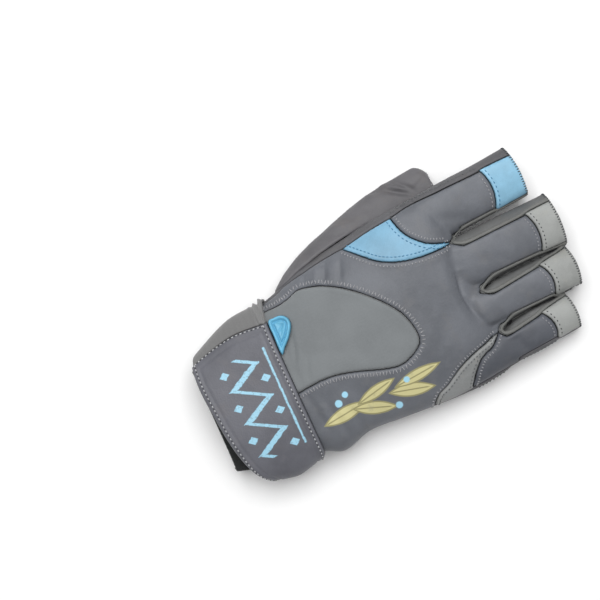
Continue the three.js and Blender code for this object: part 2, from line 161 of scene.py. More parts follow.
def finger_path(i):
    """The middle line of a finger stall, which droops more and more towards its end."""
    root_x, end_x, end_y = FINGERS["root_x"][i], FINGERS["end_x"][i], FINGERS["end_y"][i]
    root_z, drop = FINGERS["root_z"][i], FINGERS["end_z"][i] - FINGERS["root_z"][i]
    return lambda share: Vector((
        root_x + (end_x - root_x) * share,
        ROOT_Y + (end_y - ROOT_Y) * share,
        root_z + drop * max(share, 0) ** 2,
    ))


def finger_section(i, share):
    path = finger_path(i)
    root_width, end_width = FINGERS["root_width"][i], FINGERS["end_width"][i]
    width = root_width + (end_width - root_width) * share
    return path(share), along(path, share), width / 2, FINGERS["height"][i] / 2, FINGER_ROLL, -99


def web_section(i, y):
    """The section of the leather that closes the gap between two finger stalls, low down."""
    sides = []
    for finger, side in ((i, 1), (i + 1, -1)):
        share = (y - ROOT_Y) / (FINGERS["end_y"][finger] - ROOT_Y)
        middle, _, half_width, _, _, _ = finger_section(finger, share)
        sides.append(middle + Vector((side * half_width, 0, 0)))
    return (sides[0] + sides[1]) / 2, Vector((0, 1, 0)), WEB_HALF_WIDTH, WEB_HALF_HEIGHT, FINGER_ROLL, -99


def thumb_path(share):
    return Vector([read(THUMB, axis, share) for axis in "xyz"])


def thumb_section(share):
    forward = along(thumb_path, share)
    side = forward.cross(Vector((0, 0, 1)))
    round_corner = 3.2 * max(share - 0.94, 0) ** 2 / 0.06**2
    half_width = read(THUMB, "half_width", share) - round_corner
    middle = thumb_path(share) + side * round_corner
    return middle, forward, half_width, read(THUMB, "half_height", share), 0, 0


def surface(bm, columns, rows, point):
    """A grid bent so that each vertex lies at a point given by two shares, across and along."""
    verts = bmesh.ops.create_grid(bm, x_segments=columns, y_segments=rows, size=0.5)["verts"]
    for vert in verts:
        vert.co = point(vert.co.x + 0.5, vert.co.y + 0.5)
    return verts


def tube(bm, section, start, end, sides=72, rows=60):
    """A closed tube through sections between two places."""
    def point(across, share):
        return section_point(section(start + (end - start) * share), 2 * math.pi * across)

    verts = surface(bm, sides, rows, point)
    bmesh.ops.remove_doubles(bm, verts=verts, dist=0.002)
    rims = [edge for edge in bm.edges if edge.is_boundary]
    bmesh.ops.holes_fill(bm, edges=rims)


def add_object(name, data):
    piece = bpy.data.objects.new(name, data)
    bpy.context.scene.collection.objects.link(piece)
    return piece


def add_mesh(bm, name):
    mesh = bpy.data.meshes.new(name)
    bm.to_mesh(mesh)
    return add_object(name, mesh)


def melted(bm, name):
    """Closed tubes made into one smooth skin of even quads."""
    bmesh.ops.recalc_face_normals(bm, faces=bm.faces)
    shape = add_mesh(bm, name)
    mesh = shape.data
    remesh = shape.modifiers.new("melt", "REMESH")
    remesh.mode = "VOXEL"
    remesh.voxel_size = GRAIN_OF_SKIN
    smooth = shape.modifiers.new("smooth", "SMOOTH")
    smooth.iterations = ROUNDS_OF_SMOOTHING
    evaluated = shape.evaluated_get(bpy.context.evaluated_depsgraph_get())
    skin = bmesh.new()
    skin.from_mesh(evaluated.to_mesh())
    evaluated.to_mesh_clear()
    bpy.data.objects.remove(shape)
    bpy.data.meshes.remove(mesh)
    return skin


def cut_end(bm, verts, plane_co, plane_no):
    """Cuts off what lies past a plane, among some of the vertices."""
    chosen = set(verts)
    faces = [face for face in bm.faces if all(vert in chosen for vert in face.verts)]
    edges = list(dict.fromkeys(edge for face in faces for edge in face.edges))
    corners = list(dict.fromkeys(vert for face in faces for vert in face.verts))
    bmesh.ops.bisect_plane(
        bm, geom=faces + edges + corners, dist=0.001,
        plane_co=plane_co, plane_no=plane_no, clear_outer=True)
    loose = [vert for vert in bm.verts if not vert.link_faces]
    bmesh.ops.delete(bm, geom=loose, context="VERTS")


hand = bmesh.new()
tube(hand, hand_section, CUFF_Y - PAST_THE_END, HAND["y"][-1], sides=120, rows=120)
for i in range(len(FINGERS["name"])):
    past = PAST_THE_END / (FINGERS["end_y"][i] - ROOT_Y)
    tube(hand, lambda share, i=i: finger_section(i, share), 0, 1 + past)
for i, end in WEBS:
    tube(hand, lambda y, i=i: web_section(i, y), WEB_START_Y, end, sides=24, rows=40)
skin = melted(hand, "skin")
whole_hand = BVHTree.FromBMesh(skin)

thumb_form = bmesh.new()
tube(thumb_form, thumb_section, 0, PAST_THE_THUMB)
thumb_skin = melted(thumb_form, "thumb_skin")
whole_thumb = BVHTree.FromBMesh(thumb_skin)
cut_end(thumb_skin, thumb_skin.verts, thumb_path(1), along(thumb_path, 1))


def nearest_finger(point):
    def reach(i):
        share = (point.y - ROOT_Y) / (FINGERS["end_y"][i] - ROOT_Y)
        return abs(point.x - finger_path(i)(share).x) / FINGERS["end_width"][i]

    return min(range(4), key=reach)


beyond = defaultdict(list)
for vert in skin.verts:
    if vert.co.y > STALLS_APART_Y:
        beyond[nearest_finger(vert.co)].append(vert)
for i, verts in beyond.items():
    cut_end(skin, verts, finger_path(i)(1), along(finger_path(i), 1))
for vert in skin.verts:
    if vert.co.y < STALLS_APART_Y:
        continue
    i = nearest_finger(vert.co)
    end, forward = finger_path(i)(1), along(finger_path(i), 1)
    behind = (vert.co - end).dot(forward)
    across = (vert.co - end).cross(forward).z / FINGERS["end_width"][i] * 2
    bulge = max(1 - across**2, 0) * max(1 + behind / END_BOW_LENGTH, 0) ** 2
    vert.co += forward * (END_BOW * bulge)
cut_end(skin, skin.verts, (0, CUFF_Y, 0), (0, -1, 0))
cut_end(skin, skin.verts, CUFF_CORNER, CORNER_WAY)

# The slits beside the ring finger, as points in plan from the crotch outwards.
SLITS = (
    ((4.4, 44.5), (2.6, 50), (1.5, 66), (1.5, 82)),
    ((25, 45), (22.8, 50.5), (21.6, 60), (21.2, 72)),
)
SLIT_START_Y, SLIT_HALF_WIDTH, SLIT_DEPTH = 42, 0.85, 6.0


def to_line(point, start, end):
    """How far a point lies from a straight line between two places in plan."""
    run = end - start
    share = min(max((point - start).dot(run) / run.dot(run), 0), 1)
    return (point - start - run * share).length


skin.normal_update()
for vert in skin.verts:
    if vert.co.y < SLIT_START_Y or vert.normal.z < 0.05:
        continue
    spot = vert.co.xy
    apart = min(
        to_line(spot, Vector(a), Vector(b)) for line in SLITS for a, b in zip(line, line[1:]))
    vert.co.z -= SLIT_DEPTH * math.exp(-((apart / SLIT_HALF_WIDTH) ** 2))
bmesh.ops.bisect_plane(
    skin, geom=list(skin.verts) + list(skin.edges) + list(skin.faces), dist=0.001,
    plane_co=(0, BACK_CUFF_Y, 0), plane_no=(0, 1, 0))
over_cuff = [vert for vert in skin.verts if vert.co.y < BACK_CUFF_Y + 0.01]
cut_end(skin, over_cuff, (0, BACK_CUFF_Y, MIDDLE_OF_CUFF), (math.sin(MIDDLE_ROLL), 0, math.cos(MIDDLE_ROLL)))

# The panels. The leather, knit and coloured pieces are cut to pattern, sewn right side in and turned,
# so each seam is a narrow valley with a rounded edge on both sides. The skin is scored along the lines
# where one panel's solid gives way to the next one's, and then falls apart into the panels.
SEWN_PANELS = [
    "palm", "back_panel", "stretch_panel", "index_back", "index_wedge", "little_back", "little_wedge",
    "index_band", "middle_band", "ring_band", "little_band",
    "fourchette_index_middle", "fourchette_middle_ring", "fourchette_ring_little",
]
HALVINGS = 7
THUMB_HOLE = 2.4

corners, polygons, owners = [], [], []
for name in SEWN_PANELS:
    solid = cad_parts[name].data
    polygons += [[len(corners) + v for v in polygon.vertices] for polygon in solid.polygons]
    owners += [name] * len(solid.polygons)
    corners += [vert.co / MM for vert in solid.vertices]
all_panels = BVHTree.FromPolygons(corners, polygons)


def height_over(tree, point):
    """How far a point lies outside a closed form, below nought inside it."""
    place, normal, _, _ = tree.find_nearest(point)
    return (point - place).dot(normal)


def panel_at(point):
    if height_over(whole_thumb, point) < -THUMB_HOLE:
        return "thumb_hole"
    return owners[all_panels.find_nearest(point)[2]]


def score(bm, owner_at):
    """Cuts a mesh along the lines where its owner changes, and returns each face's owner."""
    owner = {vert: owner_at(vert.co) for vert in bm.verts}
    crossings = []
    for edge in bm.edges:
        a, b = edge.verts
        if owner[a] == owner[b]:
            continue
        low, high = 0.0, 1.0
        for _ in range(HALVINGS):
            middle = (low + high) / 2
            if owner_at(a.co.lerp(b.co, middle)) == owner[a]:
                low = middle
            else:
                high = middle
        crossings.append((edge, a, min(max(low, 0.08), 0.92)))
    cuts = [bmesh.utils.edge_split(edge, vert, share)[1] for edge, vert, share in crossings]
    bmesh.ops.connect_verts(bm, verts=cuts)
    face_owner = {}
    for face in bm.faces:
        names = {owner[vert] for vert in face.verts if vert in owner}
        face_owner[face] = names.pop() if len(names) == 1 else owner_at(face.calc_center_median())
    return face_owner


def seam_edges(bm, face_owner):
    """The edges between two panels, listed by the pair of panels."""
    seams = defaultdict(list)
    for edge in bm.edges:
        names = {face_owner[face] for face in edge.link_faces}
        if len(names) == 2:
            seams[frozenset(names)].append(edge)
    return seams


def ease_seams(seams, rounds=6):
    """Takes the small steps out of the seam lines, except where seams meet."""
    links = defaultdict(list)
    for edges in seams.values():
        for edge in edges:
            a, b = edge.verts
            links[a].append(b)
            links[b].append(a)
    runs = {vert: ends for vert, ends in links.items() if len(ends) == 2}
    for _ in range(rounds):
        moved = {v: v.co / 2 + (a.co + b.co) / 4 for v, (a, b) in runs.items()}
        for vert, place in moved.items():
            vert.co = place


def unfold(bm, rounds=8):
    """Smooths the few faces that the easing of the seams has folded over at the corners."""
    for _ in range(rounds):
        bm.normal_update()
        folded = {}
        for face in bm.faces:
            around = sum((vert.normal for vert in face.verts), Vector()).normalized()
            if face.normal.dot(around) < 0.6:
                folded.update(dict.fromkeys(face.verts))
        bmesh.ops.smooth_vert(
            bm, verts=list(folded), factor=0.5, use_axis_x=True, use_axis_y=True, use_axis_z=True)


def walk(edges):
    """Loose edges as ordered runs of vertices."""
    links = defaultdict(dict)
    for edge in edges:
        a, b = edge.verts
        links[a][b] = edge
        links[b][a] = edge
    runs = []
    while links:
        here = next((v for v in links if len(links[v]) == 1), next(iter(links)))
        run = [here]
        while links.get(here):
            onward = next(iter(links[here]))
            del links[here][onward], links[onward][here]
            for vert in (here, onward):
                if not links[vert]:
                    del links[vert]
            here = onward
            run.append(here)
        runs.append(run)
    return runs


owner_layer = skin.faces.layers.int.new("panel")
face_owner = score(skin, panel_at)
seams = seam_edges(skin, face_owner)
ease_seams(seams)
unfold(skin)
skin.normal_update()


def seams_between(names, others):
    """The seams between two lots of panels, as ordered runs of places and normals."""
    edges = [
        edge for pair, found in seams.items() for edge in found
        if len(pair & set(names)) == 1 and len(pair & set(others)) == 1]
    return [[(vert.co.copy(), vert.normal.copy()) for vert in run] for run in walk(edges)]


for face in skin.faces:
    name = face_owner[face]
    face[owner_layer] = SEWN_PANELS.index(name) if name in SEWN_PANELS else -1


def part_of_skin(name):
    piece = skin.copy()
    layer = piece.faces.layers.int["panel"]
    number = SEWN_PANELS.index(name)
    others = [face for face in piece.faces if face[layer] != number]
    bmesh.ops.delete(piece, geom=others, context="FACES")
    return piece


# Soft folds. Thin leather over a hollow creases where the hand bends and where seams pull: across the
# knuckles, at the finger joints, round the thumb and beside the strap. Each row is a crease from one
# place to another in plan, with its half width and its depth; less than nought is a raised fold.
FOLDS = np.array([
    (-16.5, 39, -8, 36.8, 3.4, 0.9),
    (-8, 36.8, 4, 34.8, 3.6, 1.2),
    (4, 34.8, 18, 36.4, 3.4, 0.9),
    (-14, 31.6, 0, 29.4, 2.6, -0.55),
    (0, 29.4, 16, 31, 2.6, -0.5),
    (-12, 37.2, -5.4, 36.2, 1.2, 0.25),
    (-5.4, 36.2, 3, 34.6, 1.2, 0.8),
    (3, 34.6, 11, 35.6, 1.2, 0.8),
    (11, 35.6, 18.8, 38.4, 1.1, 0.5),
    (5, 38.6, 16, 39.6, 2.2, -0.5),
    (-8, 47, -4, 62, 3, 0.4),
    (8, 24, 20, 17, 4, 0.5),
    (-38, -26.6, -29, -30.5, 1.5, 0.8),
    (-38, -21, -28.5, -25.5, 1.5, -0.5),
    (-37.5, -16.5, -27.7, -21, 1.4, 0.9),
    (-34.6, -10.1, -25.6, -14.1, 1.5, 0.7),
    (-33, -45, -29, -36, 2, 0.6),
    (14, -49.5, 36, -46, 2.2, 0.6),
    (20, -43, 44, -38, 2.2, 0.7),
    (26, -35, 44, -30, 2.4, 0.8),
    (30, -24, 43, -21, 2.6, 0.45),
    (-12, -49, 10, -49.5, 1.8, 0.5),
    (-13.5, -43.6, 0, -47.6, 1.1, 0.7),
    (-2, -41, 9, -45.5, 1.3, 0.45),
    (-11, 4, 13, -9, 3, 0.35),
    (-4, -44, 4, -26, 3.2, 0.4),
    (-44, 50, -30, 54, 2.4, 0.35),
    (-33, 38, -28, 52, 2.6, 0.4),
    (-18, 60, -6, 63, 2.4, 0.35),
    (8, 58, 18, 61, 2.2, 0.35),
    (27, 46, 39, 52, 2.4, 0.5),
    (28, 40, 38, 42, 2.4, -0.4),
    (-59, 14, -56.5, 22, 1.5, 0.9),
    (-56.5, 22, -49, 33, 1.4, 1.3),
    (-58.5, 27, -50, 35, 1.2, 1.1),
    (-59.5, 20, -53, 31, 1.5, -0.8),
    (-51, 35.3, -54, 42, 1.4, 0.6),
    (-55, 5, -49.5, 14, 2.2, 0.5),
    (-50.5, -9, -48, 3, 1.1, -0.45),
    (-48, -12, -44, 0, 1.6, 0.45),
    (-41, -26, -36, -14, 2, 0.4),
])
SLACK = ((19.0, 0.55), (7.5, 0.16))


def beside(points, start, run):
    """Where points lie along a crease in plan, as a share of it, and how far beside it."""
    share = np.clip((points[:, :2] - start) @ run / (run @ run), 0, 1)
    return share, np.linalg.norm(points[:, :2] - start - share[:, None] * run, axis=1)


def fold_depth(points):
    """How far each point sinks into the folds that it lies in."""
    depth = np.zeros(len(points))
    for x0, y0, x1, y1, width, deep in FOLDS:
        share, apart = beside(points, np.array((x0, y0)), np.array((x1 - x0, y1 - y0)))
        depth += deep * np.exp(-((apart / width) ** 2)) * (0.35 + 0.65 * np.sin(math.pi * share) ** 0.5)
    return depth


def slackness(points):
    """The slow unevenness of leather that nothing fills."""
    rise = np.zeros(len(points))
    for size, height in SLACK:
        rise += [height * noise.noise(Vector(point) / size) for point in points]
    return rise


def distance_to_rim(bm):
    """How far each vertex lies from the open edge of its piece."""
    rim = [vert for vert in bm.verts if vert.is_boundary]
    tree = kdtree.KDTree(len(rim))
    for i, vert in enumerate(rim):
        tree.insert(vert.co, i)
    tree.balance()
    return np.array([tree.find(vert.co)[2] for vert in bm.verts])


def turned_edge(distance, radius, depth):
    """How far a sewn edge turns down, a quarter circle within its radius."""
    inside = np.clip(1 - distance / radius, 0, 1)
    return depth * (1 - np.sqrt(1 - inside**2))


piece_trees = {}
SHELL_WALL = 1.5


def set_in_place(bm, name, materials):
    """Makes a shape in millimetres a piece in metres that rides with the glove."""
    bmesh.ops.scale(bm, vec=(MM, MM, MM), verts=bm.verts)
    for face in bm.faces:
        face.smooth = True
    piece = add_mesh(bm, name)
    for material in materials:
        piece.data.materials.append(material)
    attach(piece, "root")
    return piece


def finish_piece(bm, name, materials, wall, radius=1.5, depth=1.1, puff=0.25, soft=1.0, relief=None):
    """Gives a piece its turned edges, puff and folds, then its wall, finish and place in the frame."""
    bm.normal_update()
    edge = distance_to_rim(bm)
    points = np.array([vert.co for vert in bm.verts])
    normals = np.array([vert.normal for vert in bm.verts])
    upper = np.clip(normals[:, 2] * 2.5, 0, 1)
    inner = np.clip(edge / 3, 0, 1)
    rise = puff * (edge / 2.2) * np.exp(1 - edge / 2.2) - turned_edge(edge, radius, depth)
    rise += soft * inner * (slackness(points) - fold_depth(points) * upper)
    if relief:
        rise += relief(points, edge)
    resting = points[:, 2] < 0.25
    rise[resting] = np.minimum(rise[resting], 0)
    points += normals * rise[:, None]
    points[:, 2] = np.maximum(points[:, 2], 0.02)
    for vert, point in zip(bm.verts, points):
        vert.co = point
    piece_trees[name] = BVHTree.FromBMesh(bm)
    layer = bm.verts.layers.float.new("edge")
    for vert, distance in zip(bm.verts, edge):
        vert[layer] = distance
    piece = set_in_place(bm, name + "_shell", materials)
    thickness = piece.modifiers.new("wall", "SOLIDIFY")
    thickness.thickness = wall * MM
    thickness.offset = -1
    thickness.material_offset = len(materials) - 1
    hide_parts(name)


# Leather finishes. The shell is a thin, soft split leather with a fine grain and a dull polyurethane
# face: slate on the back, a warmer charcoal on the palm and thumb, and pale grey or sky blue on the
# coloured pieces. Painted shade darkens the finish down in the seams, and the turned edges are lighter,
# partly worn by rubbing and partly a painted highlight on their rolled lip.


class Sum:
    """A number in a shader, with the operators that make Math nodes."""

    def __init__(self, finish, socket):
        self.finish = finish
        self.socket = socket

    def with_(self, operation, *values, flipped=False):
        order = (*values, self) if flipped else (self, *values)
        node = self.finish.node("ShaderNodeMath", {"operation": operation}, *order)
        return Sum(self.finish, node.outputs[0])

    def __add__(self, other):
        return self.with_("ADD", other)

    def __sub__(self, other):
        return self.with_("SUBTRACT", other)

    def __rsub__(self, other):
        return self.with_("SUBTRACT", other, flipped=True)

    def __mul__(self, other):
        return self.with_("MULTIPLY", other)

    def __truediv__(self, other):
        return self.with_("DIVIDE", other)

    def __abs__(self):
        return self.with_("ABSOLUTE")

    __radd__ = __add__
    __rmul__ = __mul__


class Finish:
    """A material and the few ways of adding to it."""

    def __init__(self, name, roughness, sheen=0.0):
        self.material = bpy.data.materials.new(name)
        self.material.use_nodes = True
        self.tree = self.material.node_tree
        self.shader = self.tree.nodes["Principled BSDF"]
        self.shader.inputs["Roughness"].default_value = roughness
        self.shader.inputs["Specular IOR Level"].default_value = 0.4
        self.shader.inputs["Sheen Weight"].default_value = sheen
        self.place = self.node("ShaderNodeTexCoord").outputs["Object"]

    def node(self, kind, settings=None, *ordered, **named):
        node = self.tree.nodes.new(kind)
        for key, value in (settings or {}).items():
            setattr(node, key, value)
        sockets = list(zip(range(len(ordered)), ordered)) + [
            (key.replace("_", " "), value) for key, value in named.items()]
        for key, value in sockets:
            self.put(node.inputs[key], value)
        return node

    def put(self, socket, value):
        value = value.socket if isinstance(value, Sum) else value
        if isinstance(value, bpy.types.NodeSocket):
            self.tree.links.new(value, socket)
        else:
            socket.default_value = value

    def number(self, node, output=0):
        return Sum(self, node.outputs[output])

    def noise(self, size, detail=2.0, roughness=0.5):
        """Noise with spots of a size in metres."""
        node = self.node(
            "ShaderNodeTexNoise", None, Vector=self.place, Scale=1 / size, Detail=detail, Roughness=roughness)
        return self.number(node)

    def cells(self, size):
        node = self.node("ShaderNodeTexVoronoi", None, Vector=self.place, Scale=1 / size)
        return self.number(node)

    def ribs(self, direction, size, **settings):
        """Ribs one after another along an axis, at a scale in metres."""
        node = self.node(
            "ShaderNodeTexWave", {"bands_direction": direction}, Vector=self.place, Scale=1 / size,
            Detail=1.0, **settings)
        return self.number(node, 1)

    def edge(self):
        """The distance to the edge of the piece, in millimetres."""
        return self.number(self.node("ShaderNodeAttribute", {"attribute_name": "edge"}), "Fac")

    def axes(self):
        """The place on the piece in millimetres, as three numbers."""
        node = self.node("ShaderNodeSeparateXYZ", None, self.place)
        return [self.number(node, i) * 1000 for i in range(3)]

    def step(self, value, low, high):
        """A smooth step from nought to one."""
        settings = {"interpolation_type": "SMOOTHSTEP"}
        node = self.node("ShaderNodeMapRange", settings, Value=value, From_Min=low, From_Max=high)
        return self.number(node)

    def mix(self, share, a, b):
        node = self.node("ShaderNodeMix", {"data_type": "RGBA"})
        for socket, value in ((node.inputs[0], share), (node.inputs[6], a), (node.inputs[7], b)):
            self.put(socket, value)
        return node.outputs[2]

    def finish(self, colour, bumps, roughness=None):
        """Sets the colour, and relief as pairs of a height and its depth in metres."""
        self.put(self.shader.inputs["Base Color"], colour)
        if roughness is not None:
            self.put(self.shader.inputs["Roughness"], roughness)
        normal = None
        for height, depth in bumps:
            bump = self.node("ShaderNodeBump", None, Height=height, Distance=depth)
            if normal is not None:
                self.put(bump.inputs["Normal"], normal)
            normal = bump.outputs[0]
        if normal is not None:
            self.put(self.shader.inputs["Normal"], normal)
        return self.material


def srgb(red, green, blue):
    """A colour from its 8-bit values."""
    def linear(value):
        value /= 255
        return value / 12.92 if value <= 0.04045 else ((value + 0.055) / 1.055) ** 2.4

    return linear(red), linear(green), linear(blue), 1


def shade(colour, factor):
    return (*(min(channel * factor, 1) for channel in colour[:3]), 1)


def leather(name, colour, roughness=0.5, wear=1.3, grain=1.0, warmth=0.25, seam=0.75, motif=None):
    """Leather of a colour, with painted shade of a given strength down in its seams and a motif printed on
    it.
    """
    f = Finish(name, roughness)
    clouds = f.noise(0.022, 3)
    mottle = f.noise(0.0045, 4, 0.6)
    pebble = f.cells(0.0009)
    edge = f.edge()
    tone = f.mix(f.step(clouds, 0.35, 0.65), shade(colour, 0.88), shade(colour, 1.08))
    rubbed_brown = [channel * factor for channel, factor in zip(colour, (1.12, 0.98, 0.8, 1))]
    tone = f.mix(f.step(f.noise(0.009, 5, 0.65), 0.52, 0.68) * warmth, tone, rubbed_brown)
    tone = f.mix(f.step(mottle, 0.4, 0.75) * 0.35, tone, shade(colour, 1.25))
    tone = f.mix((1 - f.step(pebble, 0.05, 0.45)) * 0.14, tone, shade(colour, 0.6))
    # The turned edges are lighter in patches, partly worn and partly a painted highlight on the rolled lip.
    worn_and_highlit = f.step(edge, 0.35, 0.8) * (1 - f.step(edge, 0.9, 1.9)) * f.step(mottle, 0.3, 0.6)
    tone = f.mix(worn_and_highlit * 0.4, tone, shade(colour, wear))
    if motif:
        for mask, ink in motif(f):
            tone = f.mix(mask * (1 - f.step(mottle, 0.55, 0.8) * 0.35), tone, ink)
    # Painted shade: the leather is darkened down in its seams.
    tone = f.mix((1 - f.step(edge, 0.0, 0.6)) * seam, tone, shade(colour, 0.22))
    gloss = roughness + (mottle - 0.5) * 0.16 + (clouds - 0.5) * 0.1
    bumps = [(mottle, 0.00012 * grain), (pebble, 0.00005 * grain)]
    return f.finish(tone, bumps, gloss)


def lining(name, colour):
    f = Finish(name, 0.95, sheen=0.2)
    fuzz = f.noise(0.0006, 3)
    return f.finish(f.mix(f.step(fuzz, 0.3, 0.7), shade(colour, 0.7), shade(colour, 1.2)), [(fuzz, 0.0002)])


def stroke(f, distance, width, soft=0.3):
    """A printed line where a distance is under half its width, all in millimetres."""
    return 1 - f.step(distance, width / 2 - soft, width / 2 + soft)


def sprig(f):
    """A printed sprig: pale yellow leaves with olive veins, and pale blue berries beside them."""
    ragged = (f.noise(0.002, 3) - 0.5) * 0.7
    x, y, _ = f.axes()
    layers = []
    for base_x, base_y, lean, length, width in LEAVES:
        lean = math.radians(lean)
        forward = (y - base_y) * math.cos(lean) + (x - base_x) * math.sin(lean)
        across = abs((x - base_x) * math.cos(lean) - (y - base_y) * math.sin(lean))
        share = forward / length
        half = share * (1 - share) * 2 * width
        inside = 1 - f.step(across + ragged * 0.5 - half, -0.25, 0.25)
        vein = stroke(f, across, 0.55, 0.2) * f.step(share, 0.05, 0.1) * (1 - f.step(share, 0.8, 0.9))
        rim = inside * f.step(across - half, -0.75, -0.45)
        layers += [(inside * 0.95, PALE_YELLOW), (rim * 0.7, OLIVE), (vein * 0.7, OLIVE)]
    for berry_x, berry_y, size in BERRIES:
        apart = ((x - berry_x) * (x - berry_x) + (y - berry_y) * (y - berry_y)).with_("SQRT")
        layers.append((1 - f.step(apart + ragged * 0.6, size - 0.3, size + 0.3), PALE_BLUE))
    return layers


def zigzag(f):
    """A printed band: a brushed zigzag with a lozenge in each bay and a thin line beside it."""
    rough = f.noise(0.0026, 4, 0.6) - 0.5
    dry = f.step(f.noise(0.0011, 3), 0.36, 0.46)
    x, y, z = f.axes()
    y = y + 71.5 + rough * 1.2
    x = x + rough * 1.2
    bay = x.with_("PINGPONG", 8.0)
    falling = f.step((x * (1 / 16)).with_("FRACT"), 0.46, 0.54)
    line = abs(y + 7.2 - bay * 1.8) * 0.49
    zig = 1 - f.step(line - falling * 0.55, 0.5, 0.85)
    below = abs((x + 8.0).with_("PINGPONG", 8.0)) + abs(y + 8.4) * 0.8
    above = abs(x.with_("PINGPONG", 8.0)) + abs(y - 8.8) * 0.8
    gems = (1 - f.step(below, 1.8, 2.2)) + (1 - f.step(above, 1.8, 2.2))
    thin = stroke(f, abs(y - 13.2), 1.0, 0.25)
    ends = f.step(x, -13.2, -12.8) * (1 - f.step(x, 34.4, 34.8))
    return [((zig + gems + thin) * ends * f.step(z, 13.5, 14.5) * (dry * 0.3 + 0.64), PALE_BLUE)]


# Leaves: where they grow from, their lean, length and width. Berries: where they are and their radius.
LEAVES = (
    (31.5, -48, -7, 23, 6.6),
    (29.5, -33, 20, 21, 6.2),
    (28.6, -30, -12, 21, 5.6),
    (29.6, -15, 15, 22, 6.4),
    (28.4, -11.5, -5, 24, 5.6),
)
BERRIES = ((24.6, -37.5, 1.7), (22.0, -33.2, 1.4), (36.6, -12.6, 1.6), (27.2, -4.8, 1.4))
PALE_BLUE = srgb(158, 208, 230)
PALE_YELLOW = srgb(206, 199, 146)
OLIVE = srgb(104, 100, 66)
SLATE = srgb(98, 101, 107)
slate_leather = leather("slate_leather", SLATE)
printed_back = leather("printed_back", SLATE, motif=sprig)
dark_slate_leather = leather("dark_slate_leather", srgb(81, 84, 91))
charcoal_leather = leather("charcoal_leather", srgb(95, 94, 97), roughness=0.58)
# A darker copy of the thumb's charcoal: painted shade for the palm's sides.
palm_leather = leather("palm_leather", srgb(86, 86, 89), roughness=0.6)
SMOOTH = {"roughness": 0.45, "grain": 0.7, "warmth": 0.05}
sky_leather = leather("sky_leather", srgb(134, 181, 207), **SMOOTH)
deep_sky_leather = leather("deep_sky_leather", srgb(120, 164, 190), **SMOOTH)
pale_leather = leather("pale_leather", srgb(147, 149, 147), roughness=0.52, wear=1.2)
wedge_leather = leather("wedge_leather", srgb(134, 136, 136), roughness=0.55, wear=1.2)
# The gussets get less painted shade down in their seams.
gusset_leather = leather("gusset_leather", srgb(98, 99, 99), roughness=0.62, seam=0.4)
inside_lining = lining("inside_lining", srgb(60, 61, 64))

PANEL_FINISHES = {
    "palm": palm_leather, "back_panel": printed_back, "index_back": slate_leather,
    "index_wedge": deep_sky_leather, "little_back": dark_slate_leather, "little_wedge": wedge_leather,
    "index_band": sky_leather, "middle_band": pale_leather, "ring_band": pale_leather,
    "little_band": pale_leather, "fourchette_index_middle": gusset_leather,
    "fourchette_middle_ring": gusset_leather, "fourchette_ring_little": gusset_leather,
}
for name, material in PANEL_FINISHES.items():
    finish_piece(part_of_skin(name), name, [material, inside_lining], wall=SHELL_WALL, puff=0.2)


# The stretch panel. An egg-shaped window of smooth knit on neoprene lies over the back of the hand,
# let in under the leather's edge, so that the fist can close. It has no grain, only a fine rib.
def knit(name, colour):
    f = Finish(name, 0.82, sheen=0.35)
    clouds = f.noise(0.016, 2)
    fuzz = f.noise(0.0011, 3)
    wale = f.ribs("X", 0.0045, Distortion=0.6, Detail_Scale=2.0)
    edge = f.edge()
    tone = f.mix(f.step(clouds, 0.3, 0.7), shade(colour, 0.93), shade(colour, 1.05))
    tone = f.mix(f.step(fuzz, 0.3, 0.7) * 0.3, tone, shade(colour, 1.12))
    tone = f.mix(wale * 0.03, tone, shade(colour, 0.75))
    # Painted shade darkens the knit along its seams.
    tone = f.mix((1 - f.step(edge, 0.0, 0.8)) * 0.8, tone, shade(colour, 0.2))
    return f.finish(tone, [(fuzz, 0.00008), (wale, 0.00002)])


stretch_knit = knit("stretch_knit", srgb(117, 121, 123))
finish_piece(
    part_of_skin("stretch_panel"), "stretch_panel", [stretch_knit, inside_lining], wall=SHELL_WALL, puff=0.5)


# The thumb. A stall of the palm's leather is set into the side of the palm, and here lies folded under
# the index finger, pressed flat and creased.
def thumb_side(point):
    return "in_hand" if height_over(whole_hand, point) < 0.35 else "thumb"


thumb_owner = score(thumb_skin, thumb_side)
inside = [face for face, name in thumb_owner.items() if name == "in_hand"]
bmesh.ops.delete(thumb_skin, geom=inside, context="FACES")
finish_piece(thumb_skin, "thumb", [charcoal_leather, inside_lining], wall=SHELL_WALL)

# The wrist strap. A wide tab of slate leather comes from the outer side over the back of the wrist,
# hemmed all round and bound to a grey elastic that pulls it shut underneath, on a patch of hook tape.
STRAP_EDGES = table(
    "angle front rear",
    (-124, -56, -78), (-30, -55, -79), (0, -54, -80.5), (23, -52.6, -85.6),
    (57, -52.2, -89.6), (90, -52.2, -92), (120, -52.2, -93.2), (165, -51.6, -92.4),
)
ELASTIC_EDGES = table(
    "angle front rear",
    (134, -52.6, -92), (165, -50.6, -91.2), (190, -49.8, -88.5), (280, -51, -85),
)
STRAP_LIFT = table(
    "angle lift",
    (-124, 3.4), (-100, 3.4), (-82, 3.2), (-56, 1.8), (-30, 1.0), (0, 0.7), (170, 0.7),
)
STRAP_WALL, ELASTIC_WALL = 2.1, 1.5
# The level pieces: their angles, front and rear, lift, grid, wall and the rounding of their edges.
LEVEL_PIECES = (
    ("hook_patch", 273, 238, -58, -76, 3.05, (40, 26), 0.6, 0.4),
    ("cuff_lining", 350, 190, -64, -94.3, -2.3, (110, 40), 0.8, 0.5),
)


